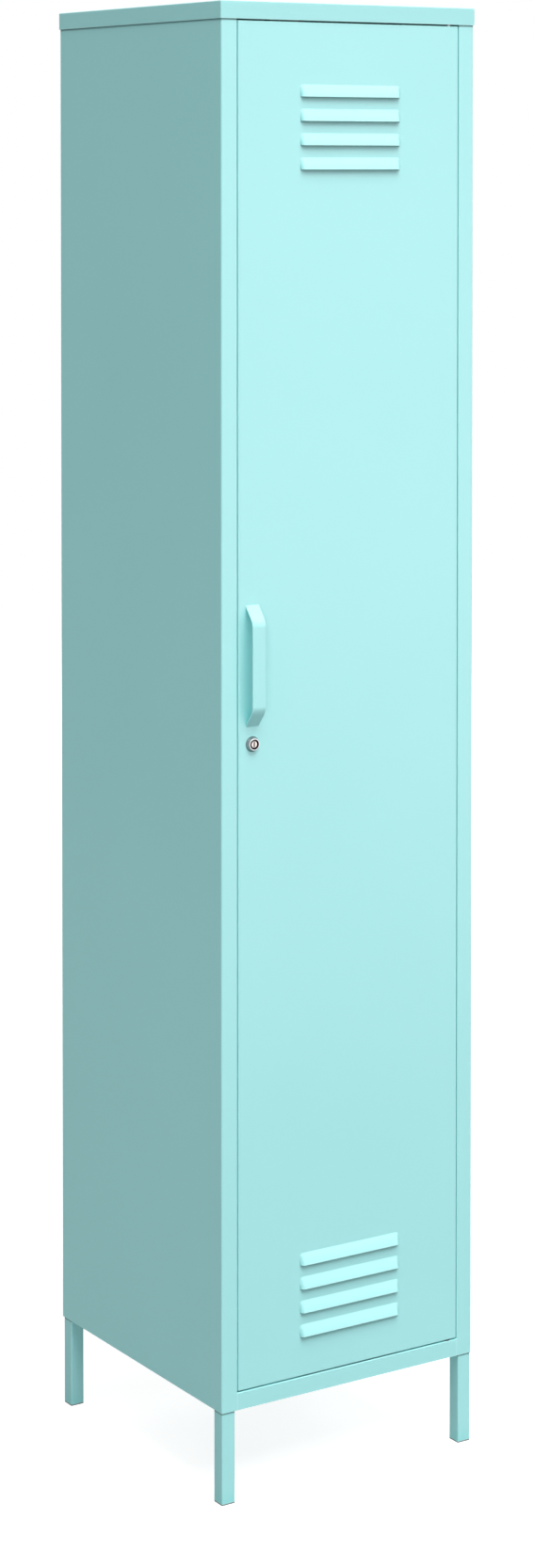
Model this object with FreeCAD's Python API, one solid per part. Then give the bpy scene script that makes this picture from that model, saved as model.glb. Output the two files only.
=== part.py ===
import FreeCAD, Part
import math
import os

# A single-door steel locker on four tube legs. Millimetres, +Z up, the door faces -Y and +X is to
# the right as seen from the front. The origin is on the floor, under the middle of the whole box.

# Body
overall_height = 1850.0
body_width = 380.0
body_depth = 400.0
leg_height = 115.0

# Sheet metal: gauges, and the inside radii of the folds
sheet = 0.8
bracket_plate = 2.0
fold_radius = 0.4
front_edge_radius = 1.0
bracket_fold_radius = 1.0
fit_clearance = 0.03
bolt_clearance = 0.25
socket_share = 0.9
running_clearance = 0.05

# Lid
lid_rim = 21.5
lid_clearance = 0.45
stud_radius = 2.5
stud_length = 13.0
stud_from_wall = 10.0
stud_from_end = 90.0
lid_nut_flats = 8.0
lid_nut_height = 4.0

# Front frame
stile_width = 23.0
sill_height = 21.8
right_return = 20.0
stop_lip = 10.0
rear_flange = 16.0
top_flange = 18.0
flange_end_gap = 20.0
header_depth = 40.0
header_rise = 0.8
header_top_flange = 15.0

# Legs
leg_side = 19.0
leg_wall = 1.2
leg_corner = 1.5
leg_clearance = 0.2
leg_plate_length = 62.0
leg_plate = 3.0
leg_bolts_from_leg = (12.0, 32.0)
leg_bolt_radius = 3.0
leg_bolt_head_radius = 5.2
leg_bolt_head_height = 3.0
leg_bolt_tail = 7.0
leg_nut_flats = 10.0
leg_nut_height = 5.0
glide_foot = 1.5
glide_plug = 14.0

# Back panel
back_clearance = 0.6
back_flange = 15.0
anchor_spacing = 240.0
anchor_drop = 90.0
anchor_hole_radius = 3.25
rivet_radius = 1.6
rivet_dome_radius = 3.2
rivet_set_radius = 2.4
rivet_end = 65.0
rivets_each_side = 5

# Door
door_side_gap = 1.1
door_bottom_gap = 1.6
door_top_gap = 1.8
door_depth = 20.0
door_lip = 12.0
stiffener_width = 50.0
stiffener_setback = 2.2
stiffener_flange = 15.0
stiffener_end_gap = 190.0
stiffener_top_gap = 226.0

# Louvres
louvre_length = 150.0
louvre_height = 15.5
louvre_reach = 4.8
louvre_bulge = 0.5
louvre_pitch = 30.0
louvre_count = 4
lower_louvre_rise = 49.9
upper_louvre_drop = 92.0

# Handle
handle_inset = 20.7
handle_width = 19.0
handle_thickness = 2.5
handle_reach = 16.2
handle_bottom = 960.2
handle_length = 150.0
handle_slant = 20.0
handle_bend = 16.0
handle_foot = 7.0
handle_foot_bend = 1.5
handle_slot_clearance = 0.4

# Lock
lock_height = 938.8
bezel_base_radius = 9.8
bezel_face_radius = 7.4
bezel_reach = 5.0
bezel_round = 0.8
bezel_mouth_radius = 6.3
bezel_mouth_depth = 1.8
barrel_radius = 8.0
barrel_flat = 6.7
plug_radius = 5.45
plug_head_radius = 4.5
plug_head_length = 3.2
plug_recess = 0.7
plug_tail = 7.0
key_slot_width = 1.8
key_slot_height = 6.6
key_slot_depth = 9.0
lock_nut_flats = 22.0
lock_nut_height = 5.0
cam_plate = 2.0
cam_width = 13.0
cam_reach = 22.0
cam_clearance = 0.7
cam_screw_radius = 1.95
cam_screw_length = 10.0
cam_screw_head_radius = 6.0
cam_screw_head_height = 2.6

# Pivots
pivot_inset = 12.0
bush_edge_gap = 0.35
pin_radius = 2.5
bush_wall = 1.45
bush_flange_rim = 1.25
bush_flange = 1.0
top_bush_height = 9.0
bottom_bush_depth = 10.0
bush_floor = 1.5
pin_engagement = 6.0
pin_chamfer = 0.8
pivot_ear = 8.0
pivot_bracket_height = 42.0
pivot_bracket_gap = 3.0
collar_rim = 1.7
collar_height = 2.0
seat_gap = 0.3
tail_drop = 12.0
tail_bend = 5.0
tail_length = 20.0
spring_bore_gap = 0.7
spring_wire = 0.8
spring_turns = 9

# Door stop and magnetic catch
bumper_radius = 4.5
bumper_thickness = 1.0
bumper_clearance = 0.3
bumper_end = 120.0
catch_inset = 60.0
catch_width = 30.0
catch_height = 14.0
catch_depth = 14.0
catch_ear = 8.0
catch_ear_height = 2.5
pole_width = 24.0
pole_plate = 1.2
pole_length = 12.0
pole_reach = 0.5
magnet_height = 5.0
strike_width = 48.0
strike_height = 11.0
strike_plate = 1.0
strike_screw_spacing = 38.0
strike_screw_radius = 1.5
strike_screw_head_radius = 2.8
strike_screw_head_height = 1.6
strike_screw_tail = 3.0
catch_screw_radius = 1.7
catch_screw_head_radius = 3.2
catch_screw_head_height = 2.0
catch_screw_tail = 3.0

# Shelves and their rails
rail_width = 20.0
rail_depth = 10.0
rail_sheet = 1.0
rail_end_gap = 65.0
front_rail_setback = 60.0
rear_rail_setback = 60.0
slot_pitch = 75.0
slot_width = 10.0
slot_height = 2.6
first_slot = 85.0
last_slot = 60.0
upper_shelf_slots_down = 3
lower_shelf_slot = 2
shelf_depth = 20.0
shelf_hem = 10.0
shelf_side_clearance = 1.7
shelf_front_setback = 42.0
shelf_rear_clearance = 2.0
clip_plate = 2.0
clip_width = 9.0
clip_tongue = 14.0
clip_tab = 6.0

# Hanging rod
rod_radius = 8.0
rod_wall = 1.0
rod_drop = 75.0
rod_bracket_inset = 34.0
rod_bracket_plate = 1.5
rod_bracket_width = 32.0
rod_bracket_foot = 26.0
rod_bracket_screw_spacing = 20.0
rod_screw_radius = 2.0
rod_screw_head_radius = 3.8
rod_screw_head_height = 2.2
rod_screw_tail = 5.0
rod_nut_flats = 7.0
rod_nut_height = 3.2
rod_overhang = 6.0
cap_rim = 2.0
cap_plug = 8.0
cap_thickness = 2.0

# Levels, faces and axes that several pieces share
Vector = FreeCAD.Vector
half_width = body_width / 2
lid_overhang = sheet + lid_clearance
front = (handle_reach - body_depth - lid_overhang) / 2
rear = front + body_depth
wall = half_width - sheet
back_face = rear - 2 * sheet
opening = half_width - stile_width
lid_under = overall_height - sheet
rim_bottom = overall_height - lid_rim
header_bottom = rim_bottom + header_rise
floor_top = leg_height + sill_height
door_half = opening - door_side_gap
door_bottom = floor_top + door_bottom_gap
door_top = rim_bottom - door_top_gap
stop_face = front + door_depth + bumper_clearance + bumper_thickness
handle_x = handle_inset - door_half
pivot_x = door_half - pivot_inset
bush_radius = pin_radius + bush_wall
bush_flange_radius = bush_radius + bush_flange_rim
collar_radius = pin_radius + collar_rim
pivot_y = front + sheet + fold_radius + bush_edge_gap + bush_radius
lock_at = Vector(handle_x, front, lock_height)
rail_bottom = floor_top + rail_end_gap
rail_top = lid_under - rail_end_gap
rail_face = wall - rail_depth
slot_count = 1 + int((rail_top - last_slot - floor_top - first_slot) / slot_pitch)
upper_shelf_slot = slot_count - 1 - upper_shelf_slots_down
right = Vector(1, 0, 0)
back = Vector(0, 1, 0)
up = Vector(0, 0, 1)


def block(x, y, z):
    """A box between a low and a high value along each axis."""
    return Part.makeBox(x[1] - x[0], y[1] - y[0], z[1] - z[0], Vector(x[0], y[0], z[0]))


def single(shape):
    """The one solid that a cut or a join leaves, with split faces merged."""
    return shape.removeSplitter().Solids[0]


def both_sides(shape):
    """A solid and its mirror image across the middle of the locker."""
    return [shape, shape.mirror(Vector(0, 0, 0), right)]


def rounded_run(points, radii):
    """Edges along a flat polyline whose inner corners have the given radii."""
    edges = []
    start = points[0]
    for before, corner, after, radius in zip(points, points[1:], points[2:], radii):
        arriving = (corner - before).normalize()
        leaving = (after - corner).normalize()
        half_turn = arriving.getAngle(leaving) / 2
        reach = radius * math.tan(half_turn)
        inwards = (leaving - arriving).normalize()
        middle = corner + inwards * (radius / math.cos(half_turn) - radius)
        arc_end = corner + leaving * reach
        edges.append(Part.makeLine(start, corner - arriving * reach))
        edges.append(Part.Arc(corner - arriving * reach, middle, arc_end).toShape())
        start = arc_end
    edges.append(Part.makeLine(start, points[-1]))
    return edges


def folded_strip(plane, run, thickness, radii, start, end):
    """A folded sheet. run is one face of its section in the plane, with the metal on the left of it."""
    axes = {"XY": (right, back, up), "YZ": (back, up, right), "XZ": (right, up, back)}
    across, along, normal = axes[plane]
    steps = [(b[0] - a[0], b[1] - a[1]) for a, b in zip(run, run[1:])]
    lefts = [(-dv / math.hypot(du, dv), du / math.hypot(du, dv)) for du, dv in steps]
    other = []
    near = []
    far = []
    for place, point in enumerate(run):
        first = lefts[max(place - 1, 0)]
        second = lefts[min(place, len(lefts) - 1)]
        share = thickness / (1 + first[0] * second[0] + first[1] * second[1])
        shift = ((first[0] + second[0]) * share, (first[1] + second[1]) * share)
        other.append((point[0] + shift[0], point[1] + shift[1]))
    for place, radius in enumerate(radii):
        turns_left = lefts[place][0] * lefts[place + 1][1] - lefts[place][1] * lefts[place + 1][0] > 0
        near.append(radius + thickness if turns_left else radius)
        far.append(radius if turns_left else radius + thickness)
    run_points = [across * u + along * v + normal * start for u, v in run]
    other_points = [across * u + along * v + normal * start for u, v in reversed(other)]
    edges = rounded_run(run_points, near)
    edges.append(Part.makeLine(run_points[-1], other_points[0]))
    edges += rounded_run(other_points, list(reversed(far)))
    edges.append(Part.makeLine(other_points[-1], run_points[0]))
    return Part.Face(Part.Wire(edges)).extrude(normal * (end - start))


def crowned_block(x, y, z, radius):
    """A box whose top and upright edges are rounded."""
    solid = block(x, y, z)
    edges = [edge for edge in solid.Edges if edge.CenterOfMass.z > z[0] + radius]
    return solid.makeFillet(radius, edges)


def folded_pan(width, length, depth, lip):
    """A pan folded from one sheet: skin on top at z = 0, edges down, and lips turned in below."""
    x = width / 2
    y = length / 2
    outer = crowned_block((-x, x), (-y, y), (-depth, 0), fold_radius + sheet)
    floor = -depth + sheet if lip else -depth
    hollow = crowned_block((sheet - x, x - sheet), (sheet - y, y - sheet), (floor, -sheet), fold_radius)
    shell = outer.cut(hollow)
    if lip:
        mouth = block((lip - x, x - lip), (lip - y, y - lip), (-depth, floor))
        shell = shell.cut(mouth)
    return single(shell)


def hexagon_bar(corner, start, end):
    """A hexagonal bar about the Z axis with two flats square to Y, given the radius to its corners."""
    turns = [math.radians(60 * step) for step in range(7)]
    points = [Vector(corner * math.cos(turn), corner * math.sin(turn), start) for turn in turns]
    return Part.Face(Part.makePolygon(points)).extrude(up * (end - start))


def hexagon_nut(across_flats, height, hole_radius):
    """A nut that stands on z = 0."""
    bar = hexagon_bar(across_flats / math.sqrt(3), 0, height)
    return bar.cut(Part.makeCylinder(hole_radius, height))


def button_screw(radius, length, head_radius, head_height):
    """A screw with its head on z = 0, its shank pointing down and a hexagon socket in the head."""
    head = Part.makeCylinder(head_radius, head_height)
    rim = [edge for edge in head.Edges if edge.CenterOfMass.z > head_height / 2 and edge.Closed]
    head = head.makeFillet(head_height / 2, rim)
    shank = Part.makeCylinder(radius, length, Vector(0, 0, 0), -up)
    socket = hexagon_bar(radius * socket_share, head_height / 2, head_height)
    return single(head.fuse(shank).cut(socket))


def aimed(shape, point, direction):
    """A copy of a shape made along +Z, stood at a point and turned to a direction."""
    copy = shape.copy()
    copy.Placement = FreeCAD.Placement(point, FreeCAD.Rotation(up, direction))
    return copy


def side_panel(stop):
    """The left wall: rear flange, wall, stile and return in one sheet, with a stop lip if asked for."""
    run = [(rear_flange - half_width, rear), (-half_width, rear), (-half_width, front), (-opening, front)]
    radii = [fold_radius, front_edge_radius, fold_radius]
    if stop:
        run += [(-opening, stop_face), (stop_lip - opening, stop_face)]
        radii.append(fold_radius)
    else:
        run.append((-opening, front + right_return))
    panel = folded_strip("XY", run, sheet, radii, leg_height, lid_under)
    flat_edge = -opening - fold_radius - sheet
    past_lip = stop_lip - opening + sheet
    past_return = stop_face + right_return
    for ends in ((leg_height, floor_top), (header_bottom, lid_under)):
        panel = panel.cut(block((flat_edge, past_lip), (front, past_return), ends))
        panel = panel.fuse(block((flat_edge, -opening), (front, front + sheet), ends))
    flange_run = (front + header_depth + sheet, rear - flange_end_gap)
    flange = block((-wall, top_flange - half_width), flange_run, (lid_under - sheet, lid_under))
    stud_hole_radius = stud_radius + bolt_clearance
    rivet_hole_radius = rivet_radius + fit_clearance
    holes = []
    for y in stud_rows:
        holes.append(Part.makeCylinder(stud_hole_radius, sheet, Vector(-stud_x, y, lid_under), -up))
    for z in rivet_rows:
        holes.append(Part.makeCylinder(rivet_hole_radius, sheet, Vector(-rivet_x, rear, z), -back))
    return single(panel.fuse(flange).cut(holes))


def back_panel():
    """A flat sheet inside the rear flanges, turned forward along its top, with two wall anchor holes."""
    half = wall - back_clearance
    face = rear - sheet
    run = [(face, leg_height), (face, lid_under), (face - back_flange, lid_under)]
    panel = folded_strip("YZ", run, sheet, [fold_radius], -half, half)
    for x in ((-wall, flange_end_gap - wall), (wall - flange_end_gap, wall)):
        panel = panel.cut(block(x, (face - back_flange, back_face), (lid_under - 2 * sheet, lid_under)))
    holes = []
    hole_radius = rivet_radius + fit_clearance
    for z in rivet_rows:
        holes += both_sides(Part.makeCylinder(hole_radius, sheet, Vector(rivet_x, face, z), -back))
    anchor = Vector(anchor_spacing / 2, face, lid_under - anchor_drop)
    holes += both_sides(Part.makeCylinder(anchor_hole_radius, sheet, anchor, -back))
    return single(panel.cut(holes))


def back_rivets():
    """Blind rivets through each rear flange and the back panel: a dome outside, a set head inside."""
    rivets = []
    for z in rivet_rows:
        shank = Part.makeCylinder(rivet_radius, 2 * sheet, Vector(rivet_x, rear, z), -back)
        dome = Part.makeCone(rivet_dome_radius, rivet_radius, sheet, Vector(rivet_x, rear, z), back)
        set_head = Part.makeCylinder(rivet_set_radius, sheet, Vector(rivet_x, back_face, z), -back)
        rivets += both_sides(single(shank.fuse([dome, set_head])))
    return Part.makeCompound(rivets)


def top_lid():
    """A shallow pan over the body, its rim standing just outside the walls."""
    lid = folded_pan(body_width + 2 * lid_overhang, body_depth + 2 * lid_overhang, lid_rim, 0)
    lid.translate(Vector(0, (front + rear) / 2, overall_height))
    return lid


def lid_studs():
    """Threaded studs welded under the lid."""
    studs = []
    for y in stud_rows:
        studs += both_sides(Part.makeCylinder(stud_radius, stud_length, Vector(stud_x, y, lid_under), -up))
    return Part.makeCompound(studs)


def lid_nuts():
    """Nuts on the studs, under the top flanges of the side panels."""
    nut = hexagon_nut(lid_nut_flats, lid_nut_height, stud_radius + fit_clearance)
    nuts = []
    for y in stud_rows:
        nuts += both_sides(aimed(nut, Vector(stud_x, y, lid_under - sheet - lid_nut_height), up))
    return Part.makeCompound(nuts)


def header_rail():
    """The channel behind the lid's rim: top flange, web, and the ledge that carries pivot and catch."""
    run = [(front + header_top_flange, lid_under), (front, lid_under), (front, header_bottom)]
    run.append((front + header_depth, header_bottom))
    rail = folded_strip("YZ", run, sheet, [fold_radius, fold_radius], -opening, opening)
    hole_floor = Vector(pivot_x, pivot_y, header_bottom)
    holes = [Part.makeCylinder(bush_radius + fit_clearance, sheet, hole_floor, up)]
    for point in catch_screw_points:
        holes.append(Part.makeCylinder(catch_screw_radius + fit_clearance, sheet, point, up))
    return single(rail.cut(holes))


def base_pan():
    """The cabinet floor: its front fold is the sill, its sides are welded to the walls between the legs."""
    run = [(back_face, leg_height), (back_face, floor_top), (front, floor_top), (front, leg_height)]
    pan = folded_strip("YZ", run, sheet, [fold_radius, fold_radius], -opening, opening)
    flange_gap = leg_plate_length - leg_side / 2 + leg_clearance
    floor_level = (floor_top - sheet, floor_top)
    wing = block((opening, wall), (front + sheet + front_edge_radius, back_face), floor_level)
    flange_run = (front_leg_y + flange_gap, rear_leg_y - flange_gap)
    flange = block((wall - sheet, wall), flange_run, (leg_height + sheet, floor_top))
    pan = pan.fuse(both_sides(wing) + both_sides(flange))
    bush_hole = Vector(pivot_x, pivot_y, floor_top)
    holes = [Part.makeCylinder(bush_radius + fit_clearance, sheet, bush_hole, -up)]
    for point in leg_bolt_points:
        holes.append(Part.makeCylinder(leg_bolt_radius + bolt_clearance, sheet, point, -up))
    return single(pan.cut(holes))


def upright_bar(x, y, z, corner):
    """A box between a low and a high value along each axis, with rounded upright edges."""
    bar = block(x, y, z)
    edges = [edge for edge in bar.Edges if abs(edge.tangentAt(edge.FirstParameter).z) > 0.5]
    return bar.makeFillet(corner, edges)


def square_bar(x, y, z, side, corner):
    """An upright square bar about a point of the floor plan."""
    half = side / 2
    return upright_bar((x - half, x + half), (y - half, y + half), z, corner)


def leg(x, y, inwards):
    """A square tube with a plate welded on its top, which runs inwards under the base pan."""
    plate_level = floor_top - sheet
    tube_run = (glide_foot, plate_level - leg_plate)
    outer = square_bar(x, y, tube_run, leg_side, leg_corner)
    bore = square_bar(x, y, tube_run, leg_side - 2 * leg_wall, leg_corner - leg_wall)
    outer_face = y - inwards * leg_side / 2
    plate_run = sorted((outer_face, outer_face + inwards * leg_plate_length))
    plate_width = (x - leg_side / 2, x + leg_side / 2)
    plate = upright_bar(plate_width, plate_run, (plate_level - leg_plate, plate_level), leg_corner)
    holes = []
    for gap in leg_bolts_from_leg:
        hole_at = Vector(x, y + inwards * (leg_side / 2 + gap), plate_level)
        holes.append(Part.makeCylinder(leg_bolt_radius + bolt_clearance, leg_plate, hole_at, -up))
    return single(outer.cut(bore).fuse(plate).cut(holes))


def glide(x, y):
    """A plastic foot that plugs the tube: a square pad with a plug above it."""
    pad = square_bar(x, y, (0, glide_foot), leg_side, leg_corner)
    plug_side = leg_side - 2 * leg_wall - 2 * running_clearance
    plug = square_bar(x, y, (glide_foot, glide_foot + glide_plug), plug_side, leg_corner - leg_wall)
    return single(pad.fuse(plug))


def leg_bolts():
    """Button-head bolts down through the cabinet floor and the leg plates."""
    length = sheet + leg_plate + leg_bolt_tail
    bolt = button_screw(leg_bolt_radius, length, leg_bolt_head_radius, leg_bolt_head_height)
    return Part.makeCompound([aimed(bolt, point, up) for point in leg_bolt_points])


def leg_nuts():
    """Nuts under the leg plates."""
    nut = hexagon_nut(leg_nut_flats, leg_nut_height, leg_bolt_radius + fit_clearance)
    drop = up * (sheet + leg_plate + leg_nut_height)
    return Part.makeCompound([aimed(nut, point - drop, up) for point in leg_bolt_points])


def louvre(lip, reach, height, below):
    """A pressed hood above a lip level: a bulged slope along X with turned ends, open below."""
    straight = louvre_length / 2 - louvre_reach
    top = Vector(0, front, lip + height)
    edge = Vector(0, front - reach, lip)
    slope = edge - top
    outwards = Vector(0, slope.z, -slope.y).normalize()
    crest = (top + edge) * 0.5 + outwards * louvre_bulge
    foot = Vector(0, front, lip - below)
    toe = Vector(0, front - reach, lip - below)
    outline = [Part.Arc(top, crest, edge).toShape()]
    corners = [edge, toe, foot, top] if below else [edge, foot, top]
    outline += [Part.makeLine(a, b) for a, b in zip(corners, corners[1:])]
    section = Part.Face(Part.Wire(outline))
    section.translate(Vector(straight, 0, 0))
    middle = section.extrude(Vector(-2 * straight, 0, 0))
    end = section.revolve(Vector(straight, front, 0), up, 90)
    return middle.fuse(both_sides(end))


def door_skin():
    """The door pan: folded edges, turned lips, two groups of louvres, and its holes and slots."""
    pan = folded_pan(2 * door_half, door_top - door_bottom, door_depth, door_lip)
    turned = FreeCAD.Rotation(right, 90)
    pan.Placement = FreeCAD.Placement(Vector(0, front, (door_bottom + door_top) / 2), turned)
    hoods = []
    hollows = []
    straight = louvre_length / 2 - louvre_reach
    for lip in louvre_lips:
        hoods.append(louvre(lip, louvre_reach, louvre_height, 0))
        hollows.append(louvre(lip, louvre_reach - sheet, louvre_height - 2 * sheet, sheet))
        slot_level = (lip, lip + louvre_height - 2 * sheet)
        hollows.append(block((-straight, straight), (front, front + sheet), slot_level))
    hollows.append(lock_barrel(barrel_radius + fit_clearance, barrel_flat + fit_clearance, 0, sheet))
    hollows += handle_slots()
    for level in (door_bottom, door_top - sheet):
        hollows.append(Part.makeCylinder(pin_radius + seat_gap, sheet, Vector(pivot_x, pivot_y, level), up))
    for x in strike_screw_x:
        hole_at = Vector(x, front + door_depth, strike_z)
        hollows.append(Part.makeCylinder(strike_screw_radius + fit_clearance, sheet, hole_at, -back))
    return single(pan.fuse(hoods).cut(hollows))


def door_stiffener():
    """A hat channel welded up the middle of the door's back, between the louvres."""
    half = stiffener_width / 2
    foot = front + sheet
    crown = front + door_depth - stiffener_setback - sheet
    brim = half + stiffener_flange
    run = [(-brim, foot), (sheet - half, foot), (sheet - half, crown), (half - sheet, crown)]
    run += [(half - sheet, foot), (brim, foot)]
    ends = (door_bottom + stiffener_end_gap, door_top - stiffener_top_gap)
    return folded_strip("XY", run, sheet, [fold_radius] * 4, *ends)


def handle():
    """A flat strap bent out from the door and back, its feet folded behind the skin and welded there."""
    behind = front + sheet
    grip = front - handle_reach
    crowns = (handle_bottom + handle_slant, handle_bottom + handle_length - handle_slant)
    rise = (handle_reach + sheet) * handle_slant / handle_reach
    corners = (crowns[0] - rise, crowns[1] + rise)
    run = [(behind, corners[1] + handle_foot), (behind, corners[1]), (grip, crowns[1]), (grip, crowns[0])]
    run += [(behind, corners[0]), (behind, corners[0] - handle_foot)]
    radii = [handle_foot_bend, handle_bend, handle_bend, handle_foot_bend]
    half = handle_width / 2
    return folded_strip("YZ", run, handle_thickness, radii, handle_x - half, handle_x + half)


def handle_slots():
    """Slanted cuts in the door skin for the two limbs of the handle."""
    slope = handle_slant / handle_reach
    rim = handle_slot_clearance * math.hypot(1, slope)
    room = handle_thickness * math.hypot(1, slope) + rim
    half = handle_width / 2 + handle_slot_clearance
    slots = []
    for edge, side in ((handle_bottom, -1), (handle_bottom + handle_length, 1)):
        outline = []
        for y, offset in ((0, rim), (sheet, rim), (sheet, -room), (0, -room), (0, rim)):
            outline.append(Vector(handle_x - half, front + y, edge + side * (slope * y + offset)))
        slots.append(Part.Face(Part.makePolygon(outline)).extrude(Vector(2 * half, 0, 0)))
    return slots


def lock_barrel(radius, flat, start, end):
    """A round bar along the lock's axis with a flat on its left and on its right."""
    bar = Part.makeCylinder(radius, end - start, lock_at + back * start, back)
    box = block((handle_x - flat, handle_x + flat), (front + start, front + end), lock_band)
    return bar.common(box)


def lock_body():
    """The lock's tapered bezel and flatted barrel, bored for the plug."""
    bezel = Part.makeCone(bezel_base_radius, bezel_face_radius, bezel_reach, lock_at, -back)
    rim = [edge for edge in bezel.Edges if edge.CenterOfMass.y < front - bezel_reach / 2 and edge.Closed]
    bezel = bezel.makeFillet(bezel_round, rim)
    barrel_length = cam_face - front - seat_gap
    barrel = lock_barrel(barrel_radius, barrel_flat, 0, barrel_length)
    bore_radius = plug_radius + running_clearance
    face = lock_at - back * bezel_reach
    bore = Part.makeCylinder(bore_radius, bezel_reach + barrel_length, face, back)
    mouth = Part.makeCone(bezel_mouth_radius, bore_radius, bezel_mouth_depth, face, back)
    return single(bezel.fuse(barrel).cut([bore, mouth]))


def lock_nut():
    """The nut that clamps the barrel behind the door skin."""
    nut = hexagon_nut(lock_nut_flats, lock_nut_height, barrel_radius + fit_clearance)
    return aimed(nut, lock_at + back * sheet, back)


def lock_plug():
    """The turning plug: key slot in its narrower head, a square tail for the cam, a screw hole behind."""
    start = plug_recess - bezel_reach
    shoulder = start + plug_head_length
    head = Part.makeCylinder(plug_head_radius, plug_head_length, lock_at + back * start, back)
    stem = Part.makeCylinder(plug_radius, cam_face - front - shoulder, lock_at + back * shoulder, back)
    tail = block(tail_band, (cam_face, cam_face + cam_plate), tail_rise)
    half = key_slot_width / 2
    slot_depth = (front + start, front + start + key_slot_depth)
    slot_level = (lock_height - key_slot_height / 2, lock_height + key_slot_height / 2)
    slot = block((handle_x - half, handle_x + half), slot_depth, slot_level)
    hole_at = Vector(handle_x, cam_face + cam_plate, lock_height)
    hole_length = cam_screw_length + seat_gap
    hole = Part.makeCylinder(cam_screw_radius + fit_clearance, hole_length, hole_at, -back)
    return single(stem.fuse([head, tail]).cut([slot, hole]))


def lock_cam():
    """The flat cam on the plug's tail. It points up when the door is free to open."""
    depth = (cam_face, cam_face + cam_plate)
    hub = Part.makeCylinder(barrel_radius, cam_plate, Vector(handle_x, cam_face, lock_height), back)
    half = cam_width / 2
    arm_top = lock_height + cam_reach - half
    arm = block((handle_x - half, handle_x + half), depth, (lock_height, arm_top))
    tip = Part.makeCylinder(half, cam_plate, Vector(handle_x, cam_face, arm_top), back)
    gap = running_clearance
    square_rise = (tail_rise[0] - gap, tail_rise[1] + gap)
    square = block((tail_band[0] - gap, tail_band[1] + gap), depth, square_rise)
    return single(hub.fuse([arm, tip]).cut(square))


def cam_screw():
    """The wide-headed screw that holds the cam on the plug."""
    head = (cam_screw_head_radius, cam_screw_head_height)
    screw = button_screw(cam_screw_radius, cam_screw_length, *head)
    return aimed(screw, Vector(handle_x, cam_face + cam_plate, lock_height), back)


def pivot_bracket(bottom):
    """A channel welded in the hinge corner of the door, with an ear above and below to guide a pin."""
    corner = door_half - sheet
    ear_end = pivot_x - pivot_ear
    top = bottom + pivot_bracket_height
    run = [(ear_end, bottom), (corner, bottom), (corner, top), (ear_end, top)]
    radii = [bracket_fold_radius] * 2
    depth = (front + sheet + fold_radius, front + door_depth - sheet - pivot_bracket_gap)
    bracket = folded_strip("XZ", run, bracket_plate, radii, *depth)
    hole_at = Vector(pivot_x, pivot_y, bottom)
    hole = Part.makeCylinder(pin_radius + running_clearance, pivot_bracket_height, hole_at, up)
    return single(bracket.cut(hole))


def top_pivot_pin():
    """The sprung pin: a chamfered tip in the header's bush, a spring collar and a bent finger tail."""
    start = Vector(pivot_x, pivot_y, pin_tip)
    corner = Vector(pivot_x, pivot_y, top_bracket_bottom - tail_drop)
    path = Part.Wire(rounded_run([start, corner, corner - right * tail_length], [tail_bend]))
    ring = Part.Wire(Part.makeCircle(pin_radius, start, up))
    pin = path.makePipeShell([ring], True, False)
    tip = [edge for edge in pin.Edges if edge.CenterOfMass.z > pin_tip - running_clearance and edge.Closed]
    pin = pin.makeChamfer(pin_chamfer, tip)
    collar = Part.makeCylinder(collar_radius, collar_height, Vector(pivot_x, pivot_y, collar_bottom), up)
    return single(pin.fuse(collar))


def bottom_pivot_pin():
    """The fixed pin: headed above its bracket and standing in the cup of the base pan's bush."""
    foot = floor_top - bottom_bush_depth + bush_floor + seat_gap
    head = bottom_bracket_top
    pin = Part.makeCylinder(pin_radius, head - foot, Vector(pivot_x, pivot_y, foot), up)
    cap = Part.makeCylinder(collar_radius, collar_height, Vector(pivot_x, pivot_y, head), up)
    return single(pin.fuse(cap))


def top_pivot_bush():
    """A flanged nylon bush pressed up into the header's ledge."""
    foot = Vector(pivot_x, pivot_y, header_bottom)
    sleeve = Part.makeCylinder(bush_radius, top_bush_height, foot, up)
    flange = Part.makeCylinder(bush_flange_radius, bush_flange, foot, -up)
    bore_length = top_bush_height + bush_flange
    bore = Part.makeCylinder(pin_radius + running_clearance, bore_length, foot - up * bush_flange, up)
    return single(sleeve.fuse(flange).cut(bore))


def bottom_pivot_bush():
    """A flanged nylon cup let into the base pan, which carries the door."""
    rim = Vector(pivot_x, pivot_y, floor_top)
    cup = Part.makeCylinder(bush_radius, bottom_bush_depth, rim, -up)
    flange = Part.makeCylinder(bush_flange_radius, bush_flange, rim, up)
    bore_length = bottom_bush_depth - bush_floor + bush_flange
    bore = Part.makeCylinder(pin_radius + running_clearance, bore_length, rim + up * bush_flange, -up)
    return single(cup.fuse(flange).cut(bore))


def biarc(start, heading, end, final):
    """Two arcs that leave one point along a heading and reach another along a second heading."""
    chord = end - start
    both = chord.dot(heading + final)
    spread = 2 - 2 * heading.dot(final)
    arm = (math.sqrt(both * both + spread * chord.dot(chord)) - both) / spread
    first = start + heading * arm
    second = end - final * arm
    joint = (first + second) * 0.5
    arcs = []
    for a, corner, b in ((start, first, joint), (joint, second, end)):
        middle = (a + b) * 0.5
        half_chord = (b - a).Length / 2
        sagitta = half_chord * math.tan(math.acos(half_chord / arm) / 2)
        arcs.append(Part.Arc(a, middle + (corner - middle).normalize() * sagitta, b).toShape())
    return arcs


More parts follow.
